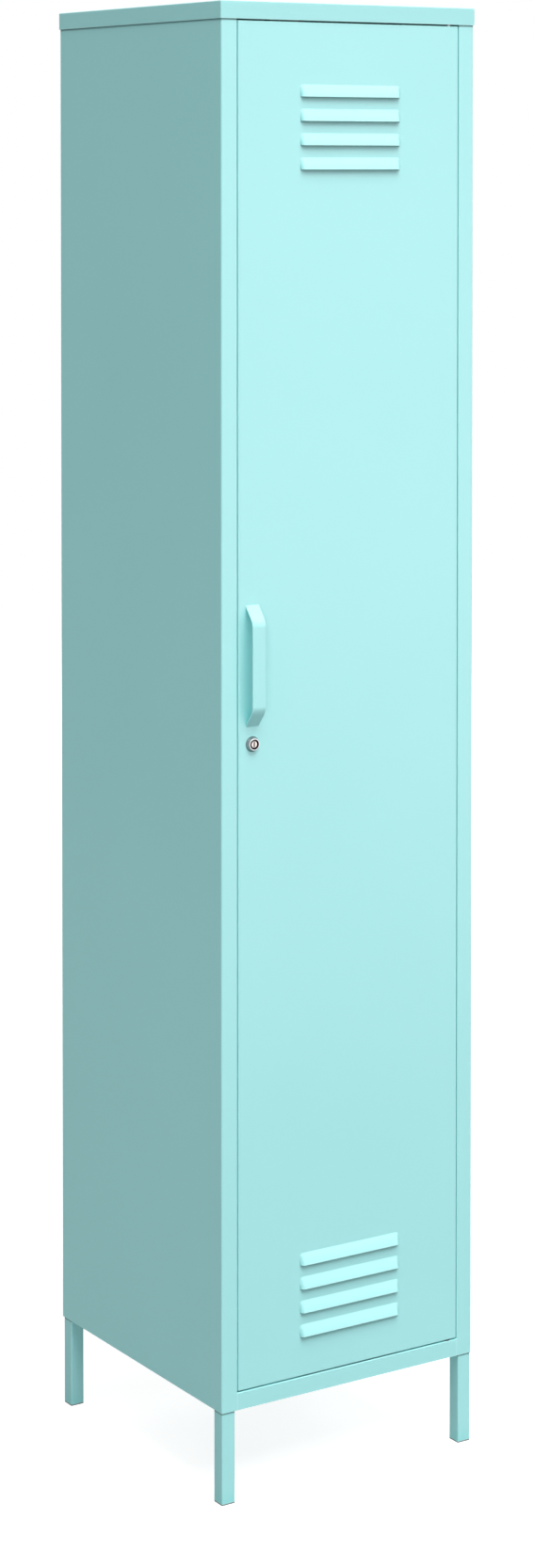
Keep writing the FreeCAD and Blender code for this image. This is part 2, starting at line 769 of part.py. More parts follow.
def pivot_spring():
    """A compression spring round the top pin, from the bracket's lower ear to the pin's collar."""
    spring_radius = pin_radius + spring_bore_gap + spring_wire / 2
    foot = top_bracket_bottom + bracket_plate + seat_gap + spring_wire / 2
    pitch = (collar_bottom - seat_gap - spring_wire / 2 - foot) / spring_turns
    climb = pitch / (2 * math.pi)
    points = []
    headings = []
    for quarter in range(4 * spring_turns + 1):
        turn = math.radians(90 * quarter)
        x = spring_radius * math.cos(turn)
        y = spring_radius * math.sin(turn)
        points.append(Vector(pivot_x + x, pivot_y + y, foot + pitch * quarter / 4))
        headings.append(Vector(-y, x, climb).normalize())
    edges = []
    for place in range(4 * spring_turns):
        edges += biarc(points[place], headings[place], points[place + 1], headings[place + 1])
    gaps = [(b - a).Length for place, a in enumerate(points) for b in points[place + 4:]]
    print("pivot_spring: least gap between turns", round(min(gaps) - spring_wire, 2), "mm")
    ring = Part.Wire(Part.makeCircle(spring_wire / 2, points[0], headings[0]))
    return Part.Wire(edges).makePipeShell([ring], True, False)


def door_bumpers():
    """Rubber dots on the stop lip, where the closing door meets the left stile."""
    x = stop_lip / 2 - opening
    low = floor_top + bumper_end
    high = header_bottom - bumper_end
    dots = []
    for z in (low, (low + high) / 2, high):
        dots.append(Part.makeCylinder(bumper_radius, bumper_thickness, Vector(x, stop_face, z), -back))
    return Part.makeCompound(dots)


def catch_housing():
    """The plastic body of the magnetic catch under the header's ledge, with an ear on each side."""
    half = catch_width / 2
    depth = (catch_face, catch_face + catch_depth)
    body = block((catch_x - half, catch_x + half), depth, (header_bottom - catch_height, header_bottom))
    ear_reach = half + catch_ear
    ear_level = (header_bottom - catch_ear_height, header_bottom)
    ears = block((catch_x - ear_reach, catch_x + ear_reach), depth, ear_level)
    pocket_half = pole_width / 2 + running_clearance
    pocket_rise = pole_stack / 2 + running_clearance
    pocket_level = (pole_z - pocket_rise, pole_z + pocket_rise)
    pocket_depth = (catch_face, catch_face + pole_length - pole_reach)
    pocket = block((catch_x - pocket_half, catch_x + pocket_half), pocket_depth, pocket_level)
    holes = [pocket]
    for point in catch_screw_points:
        radius = catch_screw_radius + fit_clearance
        holes.append(Part.makeCylinder(radius, catch_ear_height, point, -up))
    return single(body.fuse(ears).cut(holes))


def catch_bar(reach, low, high):
    """A flat bar across the pocket of the catch."""
    depth = (catch_face - reach, catch_face + pole_length - pole_reach)
    half = pole_width / 2
    return block((catch_x - half, catch_x + half), depth, (pole_z + low, pole_z + high))


def catch_magnet():
    """The magnet between the pole plates."""
    return catch_bar(0, -magnet_height / 2, magnet_height / 2)


def catch_pole_plates():
    """Two steel plates above and below the magnet, standing a little out of the housing."""
    inner = magnet_height / 2
    outer = inner + pole_plate
    return Part.makeCompound([catch_bar(pole_reach, inner, outer), catch_bar(pole_reach, -outer, -inner)])


def catch_screws():
    """Screws up through the ears of the catch into the header's ledge."""
    length = catch_ear_height + sheet + catch_screw_tail
    screw = button_screw(catch_screw_radius, length, catch_screw_head_radius, catch_screw_head_height)
    seat = up * catch_ear_height
    return Part.makeCompound([aimed(screw, point - seat, -up) for point in catch_screw_points])


def door_strike():
    """The steel plate on the door's top lip that the magnet holds."""
    half = strike_width / 2
    level = (strike_z - strike_height / 2, strike_z + strike_height / 2)
    plate = block((catch_x - half, catch_x + half), (strike_seat, strike_seat + strike_plate), level)
    holes = []
    for x in strike_screw_x:
        radius = strike_screw_radius + fit_clearance
        holes.append(Part.makeCylinder(radius, strike_plate, Vector(x, strike_seat, strike_z), back))
    return single(plate.cut(holes))


def strike_screws():
    """Screws through the strike into the door's lip."""
    length = strike_plate + sheet + strike_screw_tail
    screw = button_screw(strike_screw_radius, length, strike_screw_head_radius, strike_screw_head_height)
    heads = strike_seat + strike_plate
    return Part.makeCompound([aimed(screw, Vector(x, heads, strike_z), back) for x in strike_screw_x])


def shelf_rail(y):
    """A channel welded to the left wall, its face slotted for the shelf clips."""
    low = y - rail_width / 2
    high = y + rail_width / 2
    run = [(-wall, low), (-rail_face, low), (-rail_face, high), (-wall, high)]
    rail = folded_strip("XY", run, rail_sheet, [fold_radius] * 2, rail_bottom, rail_top)
    slots = []
    for number in range(slot_count):
        foot = slot_level(number)
        slot_run = (y - slot_width / 2, y + slot_width / 2)
        slots.append(block((-rail_face - rail_sheet, -rail_face), slot_run, (foot, foot + slot_height)))
    return single(rail.cut(slots))


def slot_level(number):
    """The lower edge of a rail's slot, counted from the bottom."""
    return floor_top + first_slot + number * slot_pitch


def shelf_clip(y, foot):
    """A clip hooked in a slot of a left rail: a tongue under the shelf, and a tab each side of the rail."""
    face = -rail_face
    inside = face - rail_sheet - running_clearance
    outside = face + running_clearance
    hook = inside - clip_plate
    guard = outside + clip_plate
    tip = face + clip_tongue
    outline = [(hook, clip_plate), (tip, clip_plate), (tip, 0)]
    outline += [(guard, 0), (guard, -clip_tab), (outside, -clip_tab), (outside, 0)]
    outline += [(inside, 0), (inside, -clip_tab), (hook, -clip_tab), (hook, clip_plate)]
    points = [Vector(x, y - clip_width / 2, foot + z) for x, z in outline]
    return Part.Face(Part.makePolygon(points)).extrude(back * clip_width)


def shelf_clips(number):
    """The four clips of one shelf."""
    clips = []
    for y in rail_rows:
        clips += both_sides(shelf_clip(y, slot_level(number)))
    return Part.makeCompound(clips)


def shelf_top(number):
    """The upper face of a shelf that stands on the clips of a slot."""
    return slot_level(number) + clip_plate + shelf_depth


def shelf(number, holes):
    """A folded tray with hemmed edges."""
    width = 2 * (rail_face - shelf_side_clearance)
    start = front + shelf_front_setback
    end = back_face - shelf_rear_clearance
    tray = folded_pan(width, end - start, shelf_depth, shelf_hem)
    tray.translate(Vector(0, (start + end) / 2, shelf_top(number)))
    return single(tray.cut(holes)) if holes else tray


def hanging_rod():
    """A round tube across the locker under the upper shelf."""
    start = Vector(-rod_half, rod_y, rod_z)
    tube = Part.makeCylinder(rod_radius, 2 * rod_half, start, right)
    return tube.cut(Part.makeCylinder(rod_radius - rod_wall, 2 * rod_half, start, right))


def rod_end_caps():
    """Plastic caps plugged into the ends of the rod."""
    end = Vector(rod_half, rod_y, rod_z)
    rounding = cap_thickness / 2
    disc = Part.makeCylinder(rod_radius + cap_rim, cap_thickness, end, right)
    rim = [edge for edge in disc.Edges if edge.CenterOfMass.x > rod_half + rounding and edge.Closed]
    disc = disc.makeFillet(rounding, rim)
    plug = Part.makeCylinder(rod_radius - rod_wall - running_clearance, cap_plug, end, -right)
    return Part.makeCompound(both_sides(single(disc.fuse(plug))))


def rod_bracket():
    """The right bracket: a foot under the upper shelf and an ear down to the rod."""
    ear_face = rod_half - rod_overhang
    foot_end = ear_face - rod_bracket_foot
    run = [(ear_face, rod_z), (ear_face, shelf_under), (foot_end, shelf_under)]
    half = rod_bracket_width / 2
    radii = [bracket_fold_radius]
    bracket = folded_strip("XZ", run, rod_bracket_plate, radii, rod_y - half, rod_y + half)
    ear_at = Vector(ear_face - rod_bracket_plate, rod_y, rod_z)
    round_end = Part.makeCylinder(half, rod_bracket_plate, ear_at, right)
    holes = [Part.makeCylinder(rod_radius + running_clearance, rod_bracket_plate, ear_at, right)]
    for point in rod_screw_points:
        if point.x > 0:
            radius = rod_screw_radius + fit_clearance
            holes.append(Part.makeCylinder(radius, sheet + rod_bracket_plate, point, -up))
    return single(bracket.fuse(round_end).cut(holes))


def rod_screws():
    """Screws down through the upper shelf and the feet of the rod brackets."""
    length = sheet + rod_bracket_plate + rod_screw_tail
    screw = button_screw(rod_screw_radius, length, rod_screw_head_radius, rod_screw_head_height)
    return Part.makeCompound([aimed(screw, point, up) for point in rod_screw_points])


def rod_nuts():
    """Nuts under the feet of the rod brackets."""
    nut = hexagon_nut(rod_nut_flats, rod_nut_height, rod_screw_radius + fit_clearance)
    drop = up * (sheet + rod_bracket_plate + rod_nut_height)
    return Part.makeCompound([aimed(nut, point - drop, up) for point in rod_screw_points])


# Places that the functions above share
stud_x = half_width - stud_from_wall
stud_rows = (front + stud_from_end, rear - stud_from_end)
rivet_x = half_width - rear_flange / 2
rivet_step = (lid_under - floor_top - 2 * rivet_end) / (rivets_each_side - 1)
rivet_rows = [floor_top + rivet_end + number * rivet_step for number in range(rivets_each_side)]
leg_x = wall - leg_clearance - leg_side / 2
front_leg_y = front + sheet + leg_clearance + leg_side / 2
rear_leg_y = back_face - sheet - leg_clearance - leg_side / 2
leg_places = {
    "front_left": (-leg_x, front_leg_y, 1),
    "front_right": (leg_x, front_leg_y, 1),
    "rear_left": (-leg_x, rear_leg_y, -1),
    "rear_right": (leg_x, rear_leg_y, -1),
}
leg_bolt_points = []
for x, y, inwards in leg_places.values():
    for gap in leg_bolts_from_leg:
        leg_bolt_points.append(Vector(x, y + inwards * (leg_side / 2 + gap), floor_top))
louvre_lips = []
for number in range(louvre_count):
    louvre_lips.append(door_bottom + lower_louvre_rise + number * louvre_pitch)
    louvre_lips.append(door_top - upper_louvre_drop - number * louvre_pitch)
lock_band = (lock_height - barrel_radius, lock_height + barrel_radius)
cam_face = stop_face + sheet + cam_clearance
tail_band = (handle_x - plug_tail / 2, handle_x + plug_tail / 2)
tail_rise = (lock_height - plug_tail / 2, lock_height + plug_tail / 2)
top_bracket_bottom = door_top - sheet - pivot_bracket_height
bottom_bracket_bottom = door_bottom + sheet
bottom_bracket_top = bottom_bracket_bottom + pivot_bracket_height
pin_tip = header_bottom + pin_engagement
collar_bottom = door_top - sheet - bracket_plate - seat_gap - collar_height
strike_seat = front + door_depth
strike_z = door_top - door_lip / 2
catch_x = catch_inset + strike_width / 2 - door_half
catch_face = strike_seat + strike_plate + seat_gap + pole_reach
pole_stack = magnet_height + 2 * pole_plate
pole_z = strike_z
strike_screw_x = (catch_x - strike_screw_spacing / 2, catch_x + strike_screw_spacing / 2)
catch_screw_reach = catch_width / 2 + catch_ear / 2
catch_screw_y = catch_face + catch_depth / 2
catch_screw_points = []
for x in (catch_x - catch_screw_reach, catch_x + catch_screw_reach):
    catch_screw_points.append(Vector(x, catch_screw_y, header_bottom))
rail_rows = (front + front_rail_setback + rail_width / 2, rear - rear_rail_setback - rail_width / 2)
shelf_under = shelf_top(upper_shelf_slot) - sheet
rod_half = rail_face - rod_bracket_inset
rod_y = (front + shelf_front_setback + back_face) / 2
rod_z = shelf_top(upper_shelf_slot) - rod_drop
rod_screw_x = rod_half - rod_overhang - (rod_bracket_foot + rod_bracket_plate) / 2
rod_screw_points = []
for x in (-rod_screw_x, rod_screw_x):
    for offset in (-rod_bracket_screw_spacing / 2, rod_bracket_screw_spacing / 2):
        rod_screw_points.append(Vector(x, rod_y + offset, shelf_top(upper_shelf_slot)))

parts = {
    "left_side_panel": side_panel(True),
    "right_side_panel": both_sides(side_panel(False))[1],
    "back_panel": back_panel(),
    "back_rivets": back_rivets(),
    "top_lid": top_lid(),
    "lid_studs": lid_studs(),
    "lid_nuts": lid_nuts(),
    "header_rail": header_rail(),
    "base_pan": base_pan(),
    "leg_bolts": leg_bolts(),
    "leg_nuts": leg_nuts(),
    "door_skin": door_skin(),
    "door_stiffener": door_stiffener(),
    "handle": handle(),
    "lock_body": lock_body(),
    "lock_nut": lock_nut(),
    "lock_plug": lock_plug(),
    "lock_cam": lock_cam(),
    "cam_screw": cam_screw(),
    "top_pivot_bracket": pivot_bracket(top_bracket_bottom),
    "bottom_pivot_bracket": pivot_bracket(bottom_bracket_bottom),
    "top_pivot_pin": top_pivot_pin(),
    "bottom_pivot_pin": bottom_pivot_pin(),
    "top_pivot_bush": top_pivot_bush(),
    "bottom_pivot_bush": bottom_pivot_bush(),
    "pivot_spring": pivot_spring(),
    "door_bumpers": door_bumpers(),
    "catch_housing": catch_housing(),
    "catch_magnet": catch_magnet(),
    "catch_pole_plates": catch_pole_plates(),
    "catch_screws": catch_screws(),
    "door_strike": door_strike(),
    "strike_screws": strike_screws(),
    "upper_shelf": shelf(upper_shelf_slot, [
        Part.makeCylinder(rod_screw_radius + fit_clearance, sheet, point, -up) for point in rod_screw_points
    ]),
    "lower_shelf": shelf(lower_shelf_slot, []),
    "upper_shelf_clips": shelf_clips(upper_shelf_slot),
    "lower_shelf_clips": shelf_clips(lower_shelf_slot),
    "hanging_rod": hanging_rod(),
    "rod_end_caps": rod_end_caps(),
    "left_rod_bracket": both_sides(rod_bracket())[1],
    "right_rod_bracket": rod_bracket(),
    "rod_screws": rod_screws(),
    "rod_nuts": rod_nuts(),
}
for place, (x, y, inwards) in leg_places.items():
    parts[place + "_leg"] = leg(x, y, inwards)
    parts[place + "_glide"] = glide(x, y)
for place, y in zip(("front", "rear"), rail_rows):
    rails = both_sides(shelf_rail(y))
    parts[place + "_left_rail"] = rails[0]
    parts[place + "_right_rail"] = rails[1]

os.makedirs("parts", exist_ok=True)
for name, shape in parts.items():
    shape.exportStep(os.path.join("parts", name + ".step"))
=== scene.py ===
import math

import bpy
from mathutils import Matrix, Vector


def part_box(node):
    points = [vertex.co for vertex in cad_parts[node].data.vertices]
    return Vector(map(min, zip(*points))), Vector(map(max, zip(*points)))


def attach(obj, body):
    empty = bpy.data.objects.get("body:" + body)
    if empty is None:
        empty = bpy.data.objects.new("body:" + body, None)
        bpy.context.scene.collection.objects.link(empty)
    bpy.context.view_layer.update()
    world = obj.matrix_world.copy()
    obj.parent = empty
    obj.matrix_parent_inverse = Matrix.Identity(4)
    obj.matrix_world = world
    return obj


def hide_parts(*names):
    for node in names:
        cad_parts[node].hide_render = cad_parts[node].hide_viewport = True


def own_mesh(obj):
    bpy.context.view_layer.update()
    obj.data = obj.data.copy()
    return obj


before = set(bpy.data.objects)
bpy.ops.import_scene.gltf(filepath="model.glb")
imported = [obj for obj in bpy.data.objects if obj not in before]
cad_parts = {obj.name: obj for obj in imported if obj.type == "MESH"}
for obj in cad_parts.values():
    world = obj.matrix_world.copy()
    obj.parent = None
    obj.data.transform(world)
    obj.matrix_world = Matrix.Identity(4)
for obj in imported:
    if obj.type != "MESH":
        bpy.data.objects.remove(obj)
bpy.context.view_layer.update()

# Side panels
# Each wall is one sheet of 0.8 mm steel: rear flange, wall, a bend round the front, the stile and a
# return beside the door. The left one ends in a stop lip. Powder coated and welded to the base.
sheet = 0.0008
sheet_bend = 0.0004
front_bend = 0.001
rear_flange = 0.016
return_depth = 0.02
mint = (0.388, 0.795, 0.8)
mint_shade = (0.374, 0.775, 0.78)
# Tones laid over the mint: a paler one for edges, a thinner coat with a painted highlight, and
# three darker ones of painted shade, for hollows, for seams and gaps and for a shadow line under
# overhangs.
mint_thin_coat_highlight = (0.56, 0.9, 0.9)
mint_painted_hollow_shade = (0.29, 0.745, 0.75)
mint_painted_seam_shade = (0.16, 0.45, 0.455)
mint_painted_shadow_line = (0.06, 0.2, 0.205)


def finish(name, base, roughness, metallic=0.0):
    """A new material with plain values, and its principled shader."""
    material = bpy.data.materials.new(name)
    material.use_nodes = True
    shader = material.node_tree.nodes["Principled BSDF"]
    shader.inputs["Base Color"].default_value = (*base, 1)
    shader.inputs["Roughness"].default_value = roughness
    shader.inputs["Metallic"].default_value = metallic
    return material, shader


def grain(material, scale, detail=2.0, stretch=(1, 1, 1)):
    """Noise over the piece, in waves per metre."""
    nodes, links = material.node_tree.nodes, material.node_tree.links
    place = nodes.new("ShaderNodeTexCoord")
    frame_of_grain = nodes.new("ShaderNodeMapping")
    frame_of_grain.inputs["Scale"].default_value = stretch
    noise = nodes.new("ShaderNodeTexNoise")
    noise.inputs["Scale"].default_value = scale
    noise.inputs["Detail"].default_value = detail
    links.new(place.outputs["Object"], frame_of_grain.inputs["Vector"])
    links.new(frame_of_grain.outputs["Vector"], noise.inputs["Vector"])
    return noise.outputs["Fac"]


noise_low, noise_high = 0.3, 0.7


def tint(material, shader, factor, dark, light):
    """The base colour, drifting between two tones."""
    nodes, links = material.node_tree.nodes, material.node_tree.links
    ramp = nodes.new("ShaderNodeValToRGB")
    ramp.color_ramp.elements[0].position = noise_low
    ramp.color_ramp.elements[0].color = (*dark, 1)
    ramp.color_ramp.elements[1].position = noise_high
    ramp.color_ramp.elements[1].color = (*light, 1)
    links.new(factor, ramp.inputs["Fac"])
    links.new(ramp.outputs["Color"], shader.inputs["Base Color"])


def blend_over(material, shader, factor, low, high, colour):
    """Lays a colour over the base colour: none where the factor is low, all where it is high."""
    nodes, links = material.node_tree.nodes, material.node_tree.links
    spread = nodes.new("ShaderNodeMapRange")
    spread.inputs["From Min"].default_value = low
    spread.inputs["From Max"].default_value = high
    layer = nodes.new("ShaderNodeMix")
    layer.data_type = "RGBA"
    layer.inputs["B"].default_value = (*colour, 1)
    links.new(shader.inputs["Base Color"].links[0].from_socket, layer.inputs["A"])
    links.new(factor, spread.inputs["Value"])
    links.new(spread.outputs["Result"], layer.inputs["Factor"])
    links.new(layer.outputs["Result"], shader.inputs["Base Color"])


def edges(material, reach):
    """How squarely the surface lies to what is round it: below one along bends and cut edges."""
    nodes, links = material.node_tree.nodes, material.node_tree.links
    rounded = nodes.new("ShaderNodeBevel")
    rounded.samples = 4
    rounded.inputs["Radius"].default_value = reach
    agree = nodes.new("ShaderNodeVectorMath")
    agree.operation = "DOT_PRODUCT"
    links.new(rounded.outputs["Normal"], agree.inputs[0])
    links.new(nodes.new("ShaderNodeNewGeometry").outputs["Normal"], agree.inputs[1])
    return agree.outputs["Value"]


def seams(material, reach):
    """How open the surface is: near nothing deep in gaps and seams."""
    hollow = material.node_tree.nodes.new("ShaderNodeAmbientOcclusion")
    hollow.samples = 8
    hollow.inputs["Distance"].default_value = reach
    return hollow.outputs["AO"]


def gloss(material, shader, factor, low, high):
    """Roughness that wanders between two values."""
    nodes, links = material.node_tree.nodes, material.node_tree.links
    spread = nodes.new("ShaderNodeMapRange")
    spread.inputs["From Min"].default_value = noise_low
    spread.inputs["From Max"].default_value = noise_high
    spread.inputs["To Min"].default_value = low
    spread.inputs["To Max"].default_value = high
    links.new(factor, spread.inputs["Value"])
    links.new(spread.outputs["Result"], shader.inputs["Roughness"])


def relief(material, shader, layers):
    """Bumps from pairs of a noise and its depth in metres, one on top of the other."""
    nodes, links = material.node_tree.nodes, material.node_tree.links
    below = None
    for height, depth in layers:
        bump = nodes.new("ShaderNodeBump")
        bump.inputs["Distance"].default_value = depth
        links.new(height, bump.inputs["Height"])
        if below:
            links.new(below, bump.inputs["Normal"])
        below = bump.outputs["Normal"]
    links.new(below, shader.inputs["Normal"])


def place_along(material, axis):
    """Where the surface lies along X, Y or Z of the locker, in metres."""
    nodes, links = material.node_tree.nodes, material.node_tree.links
    parts = nodes.new("ShaderNodeSeparateXYZ")
    links.new(nodes.new("ShaderNodeTexCoord").outputs["Object"], parts.inputs["Vector"])
    return parts.outputs[axis]


edge_reach = 0.0015
hollow_reach = 0.03
# How far below a level the painted shadow line starts to show, and where it is full.
line_starts, line_full = 0.003, 0.0008


def powder_coat(name, seam_shade_reach=None, shadow_line_level=None):
    """Satin polyester powder on wavy sheet: orange peel, a painted highlight on thin-coated edges,
    painted shade in hollows, seams and under a level.
    """
    material, shader = finish(name, mint, 0.5)
    shader.inputs["Specular IOR Level"].default_value = 0.35
    tint(material, shader, grain(material, 3.0, 4.0), mint_shade, mint)
    # Paler edges: a thinner coat there, and a painted highlight along bends and corners.
    blend_over(material, shader, edges(material, edge_reach), 0.98, 0.85, mint_thin_coat_highlight)
    # Painted shade: hollows and inside corners go a deeper, more saturated mint, as light bounced
    # there would.
    blend_over(material, shader, seams(material, hollow_reach), 0.9, 0.3, mint_painted_hollow_shade)
    if seam_shade_reach:
        # Painted shade: tight seams and gaps go dark.
        blend_over(material, shader, seams(material, seam_shade_reach), 0.55, 0.1, mint_painted_seam_shade)
    # Painted shadow line: a dark band just under a given level, where an overhang would cast its
    # shadow.
    if shadow_line_level:
        starts, full = shadow_line_level - line_starts, shadow_line_level - line_full
        blend_over(material, shader, place_along(material, "Z"), starts, full, mint_painted_shadow_line)
    gloss(material, shader, grain(material, 260.0), 0.45, 0.55)
    peel = grain(material, 480.0, 1.5)
    waves = grain(material, 5.0, 1.0, (1, 1, 0.35))
    relief(material, shader, [(waves, 0.0006), (peel, 0.000012)])
    return material


# This coat carries painted shade in its seams and gaps.
mint_coat = powder_coat("mint_powder_coat", 0.005)
# The walls carry a painted shadow line just under the lid's rim.
wall_coat = powder_coat("mint_coat_below_lid", None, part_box("top_lid")[0].z)


def dress(node, material):
    """A CAD node's own mesh, given a finish."""
    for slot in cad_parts[node].material_slots:
        slot.material = material


crease_angle = math.radians(33)


def piece(name, points, faces, material, body, slot, *nodes):
    """A new mesh piece that rides on a body and stands for CAD nodes."""
    mesh = bpy.data.meshes.new(name)
    mesh.from_pydata(points, [], faces)
    mesh.materials.append(material)
    mesh.shade_smooth()
    mesh.set_sharp_from_angle(angle=crease_angle)
    thing = bpy.data.objects.new(name, mesh)
    bpy.context.scene.collection.objects.link(thing)
    thing.modifiers.new("flat_faces", "WEIGHTED_NORMAL").keep_sharp = True
    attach(thing, body)
    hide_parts(*nodes)
    return thing


def two_skins(outer, inner, faces):
    """Points and faces of a closed sheet, from matching points of its two skins."""
    count = len(outer)
    runs = {(a, b) for face in faces for a, b in zip(face, face[1:] + face[:1])}
    closed = list(faces)
    closed += [tuple(count + corner for corner in reversed(face)) for face in faces]
    closed += [(b, a, a + count, b + count) for a, b in runs if (b, a) not in runs]
    return list(outer) + list(inner), closed


def folded(corners, bends, thickness, steps=8):
    """Points on both faces of a folded sheet's section, the metal to the left of its corners."""
    corners = [Vector(corner) for corner in corners]
    pairs = []
    for place, corner in enumerate(corners):
        if place in (0, len(corners) - 1):
            along = corners[1] - corner if place == 0 else corner - corners[-2]
            left = Vector((-along.y, along.x)).normalized()
            pairs.append((corner, corner + left * thickness))
            continue
        arriving = (corner - corners[place - 1]).normalized()
        leaving = (corners[place + 1] - corner).normalized()
        turn = arriving.angle_signed(leaving)
        side = -1 if turn > 0 else 1
        radius = bends[place - 1] + (thickness if side > 0 else 0)
        other = radius - side * thickness
        left = Vector((-arriving.y, arriving.x)) * side
        centre = corner - arriving * radius * math.tan(abs(turn) / 2) + left * radius
        for step in range(steps + 1):
            angle = side * abs(turn) * step / steps
            spoke = Vector((-left.x * math.cos(angle) + left.y * math.sin(angle),
                            -left.x * math.sin(angle) - left.y * math.cos(angle)))
            pairs.append((centre + spoke * radius, centre + spoke * other))
    return pairs


wall_low, wall_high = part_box("left_side_panel")
floor_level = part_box("base_pan")[1].z
header_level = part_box("header_rail")[0].z
opening = -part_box("header_rail")[0].x
half_width = -wall_low.x
front, rear = wall_low.y, wall_high.y
stop_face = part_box("door_bumpers")[1].y
levels = [wall_low.z, floor_level, header_level, wall_high.z]
left_run = [(rear_flange - half_width, rear), (-half_width, rear)]
left_run += [(-half_width, front), (-opening, front)]
stop_run = [(-opening, stop_face), (wall_high.x, stop_face)]
return_run = [(-opening, front + return_depth)]
fold_starts = -opening - sheet_bend - sheet - 0.0001
for name, side, tail in (("left_side_panel", 1, stop_run), ("right_side_panel", -1, return_run)):
    pairs = folded(left_run + tail, [sheet_bend, front_bend] + [sheet_bend] * len(tail), sheet)
    stile = [place for place, pair in enumerate(pairs) if pair[0].y < front + 1e-6]
    stile_end = next(place for place in stile if pairs[place][0].x > fold_starts)
    outer = [(side * pair[0].x, pair[0].y, z) for z in levels for pair in pairs]
    inner = [(side * pair[1].x, pair[1].y, z) for z in levels for pair in pairs]
    width = len(pairs)
    faces = []
    for level in range(3):
        for place in range(width - 1):
            if level == 1 or place < stile_end:
                a = level * width + place
                faces.append((a, a + 1, a + width + 1, a + width)[::side])
    for level in (0, 2):
        corner = len(outer)
        for z in levels[level:level + 2]:
            outer.append((-side * opening, front, z))
            inner.append((-side * opening, front + sheet, z))
        a = level * width + stile_end
        faces.append((a, corner, corner + 1, a + width)[::side])
    piece(name + "_sheet", *two_skins(outer, inner, faces), wall_coat, "cabinet", "mint_coat", name)

# Back panel and its rivets
# A flat sheet inside the rear flanges, turned forward along its top, held by aluminium blind rivets
# and pierced twice for wall screws.
dress("back_panel", mint_coat)


def plated_steel(name, dark, light):
    """Bright zinc on turned or pressed steel: a faint cloudiness, fine tool marks and painted shade
    in tight seams.
    """
    material, shader = finish(name, light, 0.3, 1.0)
    tint(material, shader, grain(material, 140.0, 4.0), dark, light)
    # Painted shade: the zinc goes near black in tight seams and gaps.
    blend_over(material, shader, seams(material, 0.005), 0.6, 0.1, (0.08, 0.09, 0.09))
    gloss(material, shader, grain(material, 900.0, 3.0), 0.22, 0.4)
    relief(material, shader, [(grain(material, 1500.0, 3.0, (1, 1, 0.2)), 0.00001)])
    return material


zinc = plated_steel("zinc_plate", (0.5, 0.51, 0.53), (0.68, 0.69, 0.7))
dress("back_rivets", zinc)

# Lid with its studs and nuts
# A shallow pan pressed from one sheet that caps the body, its rim just outside the walls. Studs
# welded under it pass through the top flanges and take nuts.
lid_rim = 0.0215
corner_steps = 6
top_middle = corner_steps + 1
foot_middle = 3 * corner_steps + 4
loop_points = 4 * corner_steps + 6


def rounded_loop(half_x, half_y, corner):
    """A rectangle's outline with round corners, and the middle of its top and of its foot."""
    points = []
    for quarter, (sx, sy) in enumerate(((1, 1), (-1, 1), (-1, -1), (1, -1))):
        for step in range(corner_steps + 1):
            turn = math.radians(90 * (quarter + step / corner_steps))
            points.append((sx * (half_x - corner) + corner * math.cos(turn),
                           sy * (half_y - corner) + corner * math.sin(turn)))
        if sx == sy:
            points.append((0, sy * half_y))
    return points


least_round = 0.00002


def bend_skins(half_x, half_y, reach, level, rise):
    """Both skins' loops at one place on a pan's bend, from the bend's centre level."""
    skins = []
    for skin in (0, sheet):
        radius = sheet_bend + sheet - skin
        inset = skin + radius * (1 - reach)
        loop = rounded_loop(half_x - inset, half_y - inset, max(radius * reach, least_round))
        skins.append([(x, y, level + radius * rise) for x, y in loop])
    return skins


def pan_loops(half_x, half_y, depth, lip):
    """Loops of a pan's two skins: from its face over the bend, down the edge and along the lip."""
    turns = [math.radians(90 * step / corner_steps) for step in range(corner_steps + 1)]
    upper, lower = -sheet_bend - sheet, -depth + sheet_bend + sheet
    loops = [bend_skins(half_x, half_y, math.sin(turn), upper, math.cos(turn)) for turn in turns]
    if not lip:
        loops.append([[(x, y, -depth) for x, y, z in skin] for skin in loops[-1]])
        return loops
    loops += [bend_skins(half_x, half_y, math.cos(turn), lower, -math.sin(turn)) for turn in turns]
    lip_loop = rounded_loop(half_x - lip, half_y - lip, least_round)
    loops.append([[(x, y, -depth + skin) for x, y in lip_loop] for skin in (0, sheet)])
    return loops


def pan_skins(loops):
    """Outer points, inner points and the faces between a pan's loops, without its face."""
    outer = [point for loop in loops for point in loop[0]]
    inner = [point for loop in loops for point in loop[1]]
    count = len(loops[0][0])
    faces = []
    for row in range(len(loops) - 1):
        for place in range(count):
            a, b = row * count + place, row * count + (place + 1) % count
            faces.append((b, a, a + count, b + count))
    return outer, inner, faces


def tray(name, node, depth, lip):
    """A pan that stands for a CAD node, face up."""
    low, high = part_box(node)
    half_x, half_y = (high.x - low.x) / 2, (high.y - low.y) / 2
    outer, inner, faces = pan_skins(pan_loops(half_x, half_y, depth, lip))
    faces.append(tuple(range(loop_points)))
    middle = Vector(((low.x + high.x) / 2, (low.y + high.y) / 2, high.z))
    skins = [[middle + Vector(point) for point in skin] for skin in (outer, inner)]
    piece(name, *two_skins(*skins, faces), mint_coat, "cabinet", "mint_coat", node)


tray("lid_pan", "top_lid", lid_rim, 0)
dress("lid_studs", zinc)
dress("lid_nuts", zinc)

# Header rail and base pan
# Folded channels between the walls: the header behind the lid's rim carries the top pivot and the
# catch, and the base pan is the floor, its front edge the sill under the door.
plain_coat = powder_coat("mint_coat_plain")
dress("header_rail", plain_coat)
dress("base_pan", plain_coat)

# Legs and glides
# Square steel tubes with a plate welded on top, coated like the body and bolted up under it, each
# closed by a moulded foot.


